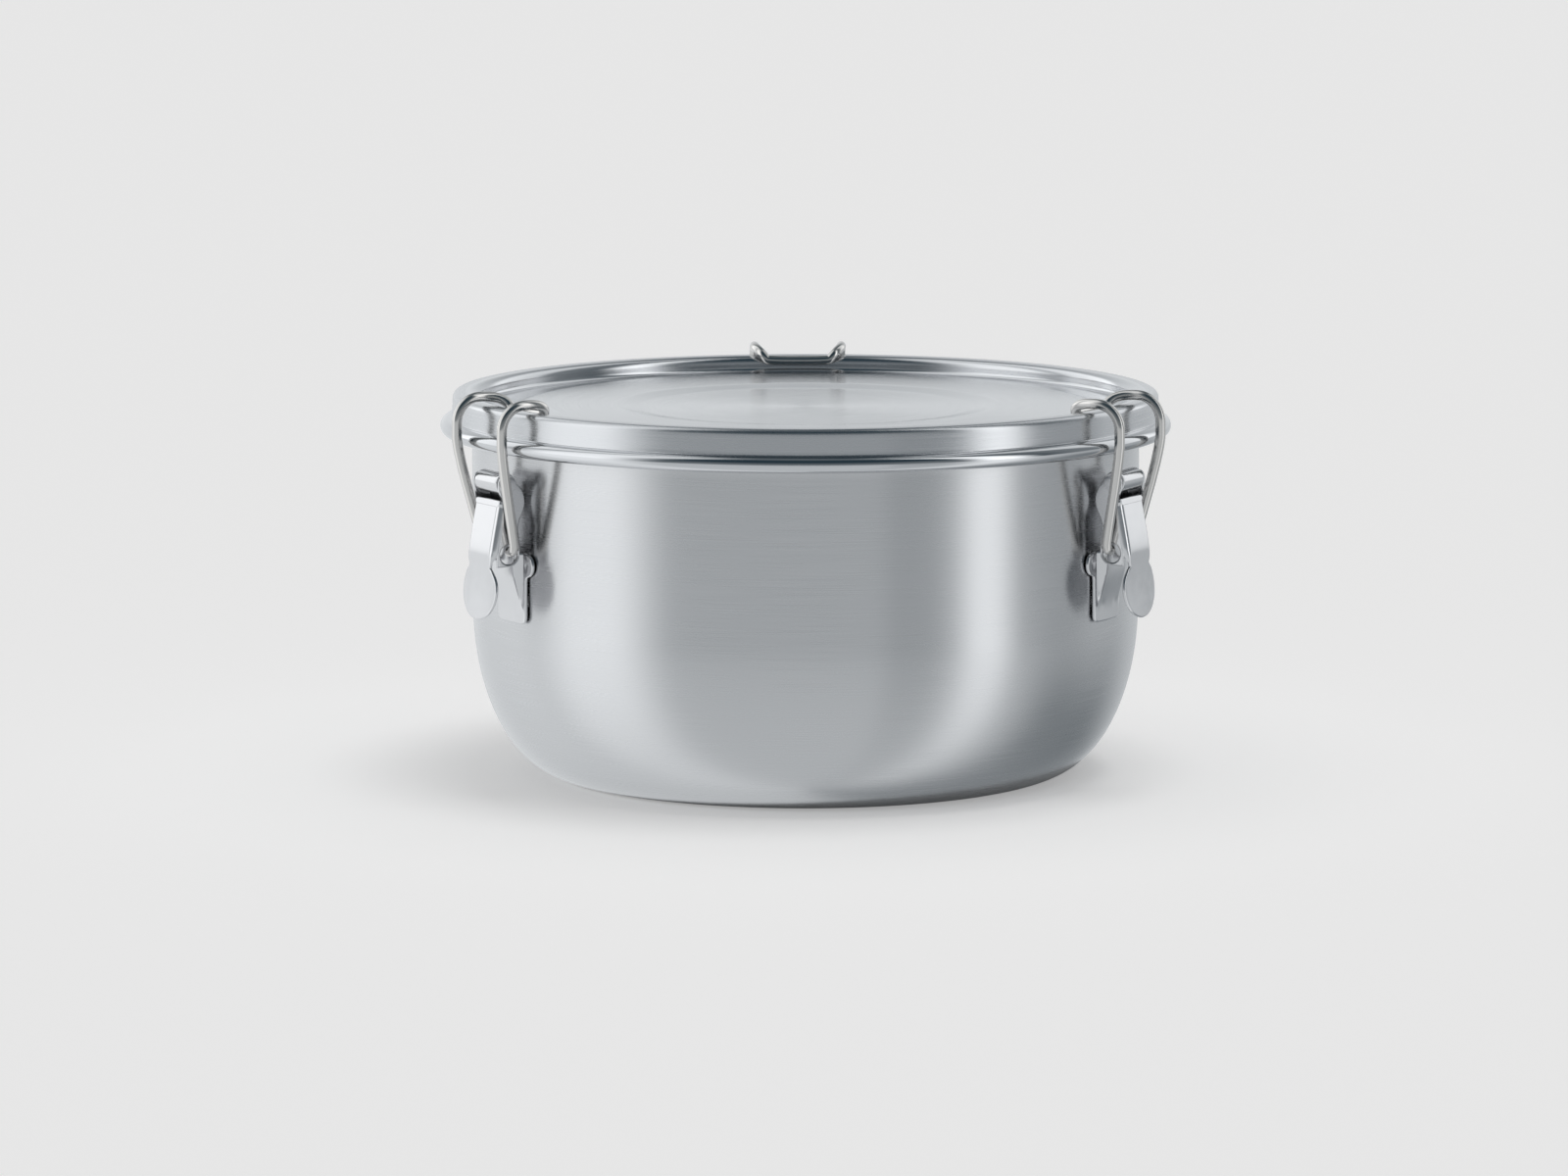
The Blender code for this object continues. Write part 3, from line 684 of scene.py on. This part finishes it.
# The section is kept square to outward up the leg, to the arch's own radius over the rim, and to
# upright beyond it.
leg_turn = np.zeros(len(foot_bend) + 2)
arch_turn = np.linspace(0, 90, len(arch))
turn = np.radians(np.concatenate([leg_turn, arch_turn, np.full(HOOK_STEPS, 90.0)]))
half_ups = np.stack([np.cos(turn), np.zeros(len(turn)), np.sin(turn)], axis=1)
wire_line = np.concatenate([half_wire, half_wire[::-1] * (1, -1, 1)])
wire_ups = np.concatenate([half_ups, half_ups[::-1]])
wire_course = rounded(np.concatenate([wire_line, wire_ups], axis=1), passes=2)
wire_course = refined(wire_course, step=1.5)
wire_section = arc((0, 0), WIRE_RADIUS, 0, 360, WIRE_SIDES)[:-1]
wire = carried(wire_course[:, :3], wire_course[:, 3:], wire_section)
wire_steel = steel("wire_steel", WIRE_STEEL, roughness=0.17, spread=0.04, grain=(12.0, 0.4),
                   streak=0.06, anisotropic=0.0)
for side in LATCH_ANGLES:
    skins = [skin(placed(wire, side), capped=True)]
    wire_node = "latch_bail_" + side
    piece("bail_wire_" + side, skins, wire_steel, "bail_" + side, "wire_steel", wire_node)

# Studio
# A plain pale floor that runs back past the frame, two broad soft lights from above and from the
# upper right for its shadow, and panels round the container that its steel reflects.
FLOOR_HALF = 20000.0
FLOOR_POINTS = 9
FLOOR_Z = -0.1
FLOOR_PALE = 0.80
FLOOR_GLOW = 0.33
# The floor in the container's own shade, as its steel sees it.
SHADE_RADIUS = 66.5
SHADE_SHIFT = 4.0
SHADE_Z = -0.05
SHADE_TURN_STEPS = 64
SHADE_PALE = 0.85
SHADE_GLOW = 0.04


def matt(name, pale, glow):
    """Matt white paint of one paleness, which also glows evenly."""
    paint = bpy.data.materials.new(name)
    paint.use_nodes = True
    shader = paint.node_tree.nodes["Principled BSDF"]
    shader.inputs["Base Color"].default_value = (pale, pale, pale, 1.0)
    shader.inputs["Roughness"].default_value = 1.0
    shader.inputs["Specular IOR Level"].default_value = 0.0
    shader.inputs["Emission Color"].default_value = (1.0, 1.0, 1.0, 1.0)
    shader.inputs["Emission Strength"].default_value = glow
    return paint


def ground(name, points, faces, paint):
    """A flat piece of the studio's ground."""
    mesh = bpy.data.meshes.new(name)
    mesh.from_pydata((points * MM).tolist(), [], faces)
    mesh.materials.append(paint)
    thing = bpy.data.objects.new(name, mesh)
    bpy.context.scene.collection.objects.link(thing)
    return thing


floor_line = np.linspace(-FLOOR_HALF, FLOOR_HALF, FLOOR_POINTS)
floor_x, floor_y = np.meshgrid(floor_line, floor_line, indexing="ij")
floor_grid = np.stack([floor_x, floor_y, np.full_like(floor_x, FLOOR_Z)], axis=-1)
floor_points, floor_faces, _ = skin(floor_grid, columns_meet=False)
floor_paint = matt("floor_paint", FLOOR_PALE, FLOOR_GLOW)
floor = ground("floor", floor_points, floor_faces, floor_paint)
floor.visible_glossy = False

shade_line = np.array([(0.0, SHADE_Z), (SHADE_RADIUS, SHADE_Z)])
shade_points, shade_faces, _ = skin(spun(shade_line, SHADE_TURN_STEPS))
shade_paint = matt("shade_paint", SHADE_PALE, SHADE_GLOW)
floor_shade = ground("floor_shade", shade_points + (SHADE_SHIFT, 0, 0), shade_faces, shade_paint)
floor_shade.visible_camera = False
floor_shade.visible_diffuse = False
floor_shade.visible_shadow = False

# Lights: azimuth, height, angular width and strength.
LIGHTS = {
    "key_light": (70.0, 82.0, 30.0, 0.80),
    "fill_light": (0.0, 90.0, 84.0, 1.03),
}


def toward(azimuth, height):
    """The direction at an azimuth (0 at the camera, plus to the right of it) and a height above the
    horizon."""
    a, h = np.radians([azimuth, height])
    return np.array([np.sin(a) * np.cos(h), -np.cos(a) * np.cos(h), np.sin(h)])


for name, (azimuth, height, width, strength) in LIGHTS.items():
    light_data = bpy.data.lights.new(name, "SUN")
    light_data.energy = strength
    light_data.angle = np.radians(width)
    light = bpy.data.objects.new(name, light_data)
    light.rotation_euler = Vector(toward(azimuth, height)).to_track_quat("Z", "Y").to_euler()
    light.visible_glossy = False
    bpy.context.scene.collection.objects.link(light)

# Panels: azimuth, half width and soft edge, brightness added below and above the horizon, and the
# height at which they have faded out. A brightness below zero takes light away.
PANELS = {
    "left_softbox": (-80.0, 8.0, 26.0, 0.45, 1.3, 180.0),
    "left_bank": (-126.0, 12.0, 10.0, 0.0, 1.0, 180.0),
    "left_wall": (-145.0, 25.0, 30.0, 0.20, 0.15, 180.0),
    "right_softbox": (63.5, 2.0, 14.0, 0.46, 1.6, 180.0),
    "right_bank": (126.0, 12.0, 12.0, 0.0, 0.70, 180.0),
    "right_flag": (112.0, 16.0, 26.0, -0.17, 0.2, 180.0),
    "narrow_flag": (36.0, 5.0, 9.0, -0.12, 0.0, 180.0),
    "front_sheet": (0.0, 35.0, 45.0, -0.05, 0.20, 45.0),
    "back_sweep": (180.0, 25.0, 40.0, -0.10, 0.64, 70.0),
}
TABLE = 0.70
# The panels' light on the table grows between these heights, from this share to all of it.
TABLE_NEAR = -60.0
TABLE_FAR = -12.0
NEAR_SHARE = 0.5
# The table darkens behind on the right: azimuth, half width, soft edge, brightness lost, and the
# heights between which that fades out.
TABLE_SHADE = (130.0, 22.0, 30.0, 0.29, -28.0, -8.0)
ROOM = 0.05
CEILING = 0.16
CEILING_START = 66.0
CEILING_END = 84.0
HORIZON_HALF = 3.0
TINT = {"Red": -0.022, "Green": 0.0, "Blue": 0.016}

world = bpy.data.worlds.new("studio")
bpy.context.scene.world = world
world.use_nodes = True
world.cycles_visibility.diffuse = False
nodes, links = world.node_tree.nodes, world.node_tree.links


def value_of(socket, source):
    """Links a node's output to a socket, or sets a plain number on it."""
    if isinstance(source, bpy.types.NodeSocket):
        links.new(source, socket)
    else:
        socket.default_value = source


def maths(operation, *sources):
    """A Math node's result."""
    node = nodes.new("ShaderNodeMath")
    node.operation = operation
    for socket, source in zip(node.inputs, sources):
        value_of(socket, source)
    return node.outputs["Value"]


def fade(value, start, end, low, high):
    """A value that goes smoothly from low at start to high at end."""
    node = nodes.new("ShaderNodeMapRange")
    node.interpolation_type = "SMOOTHSTEP"
    names = ("Value", "From Min", "From Max", "To Min", "To Max")
    for name, source in zip(names, (value, start, end, low, high)):
        value_of(node.inputs[name], source)
    return node.outputs["Result"]


direction = nodes.new("ShaderNodeSeparateXYZ")
links.new(nodes.new("ShaderNodeTexCoord").outputs["Generated"], direction.inputs["Vector"])
to_camera = maths("MULTIPLY", direction.outputs["Y"], -1.0)
azimuth = maths("DEGREES", maths("ARCTAN2", direction.outputs["X"], to_camera))
height = maths("DEGREES", maths("ARCSINE", direction.outputs["Z"]))


def across_from(centre, half, edge, brightness):
    """A brightness that holds for half a width round an azimuth and fades to nothing over its soft
    edge."""
    away = maths("WRAP", maths("SUBTRACT", azimuth, centre), -180.0, 180.0)
    return fade(maths("ABSOLUTE", away), half, half + edge, brightness, 0.0)


below = TABLE
above = ROOM
table_share = fade(height, TABLE_NEAR, TABLE_FAR, NEAR_SHARE, 1.0)
for centre, half, edge, low, high, top in PANELS.values():
    on_table = maths("MULTIPLY", table_share, across_from(centre, half, edge, low))
    below = maths("ADD", below, on_table)
    height_share = fade(height, 0.0, top, 1.0, 0.0)
    upright = maths("MULTIPLY", height_share, across_from(centre, half, edge, high))
    above = maths("ADD", above, upright)
centre, half, edge, lost, shade_start, shade_end = TABLE_SHADE
shade_share = fade(height, shade_start, shade_end, 1.0, 0.0)
table_shade = maths("MULTIPLY", across_from(centre, half, edge, lost), shade_share)
below = maths("SUBTRACT", below, table_shade)
above = fade(height, CEILING_START, CEILING_END, above, CEILING)
studio = fade(height, -HORIZON_HALF, HORIZON_HALF, below, above)
tint = nodes.new("ShaderNodeCombineColor")
for name, offset in TINT.items():
    links.new(maths("ADD", studio, offset), tint.inputs[name])
links.new(tint.outputs["Color"], nodes["Background"].inputs["Color"])

# Camera
# It stands well back from the container with a long lens, a little above the lid. The lens is
# shifted by a few of the picture's 1600 pixels.
CAMERA_AZIMUTH = -1.35
CAMERA_HEIGHT = 7.83
CAMERA_DISTANCE = 1.7
CAMERA_TARGET = (0.0, 0.0, 0.0465)
CAMERA_SENSOR = 36.0
CAMERA_LENS = 156.6
PICTURE_WIDTH = 1600
SHIFT_ACROSS = -22
SHIFT_UP = -5

camera_data = bpy.data.cameras.new("camera")
camera_data.sensor_width = CAMERA_SENSOR
camera_data.lens = CAMERA_LENS
camera_data.shift_x = SHIFT_ACROSS / PICTURE_WIDTH
camera_data.shift_y = SHIFT_UP / PICTURE_WIDTH
camera = bpy.data.objects.new("camera", camera_data)
back_to = Vector(toward(CAMERA_AZIMUTH, CAMERA_HEIGHT))
camera.location = Vector(CAMERA_TARGET) + back_to * CAMERA_DISTANCE
camera.rotation_euler = back_to.to_track_quat("Z", "Y").to_euler()
bpy.context.scene.collection.objects.link(camera)
bpy.context.scene.camera = camera
bpy.context.scene.view_settings.view_transform = "Standard"
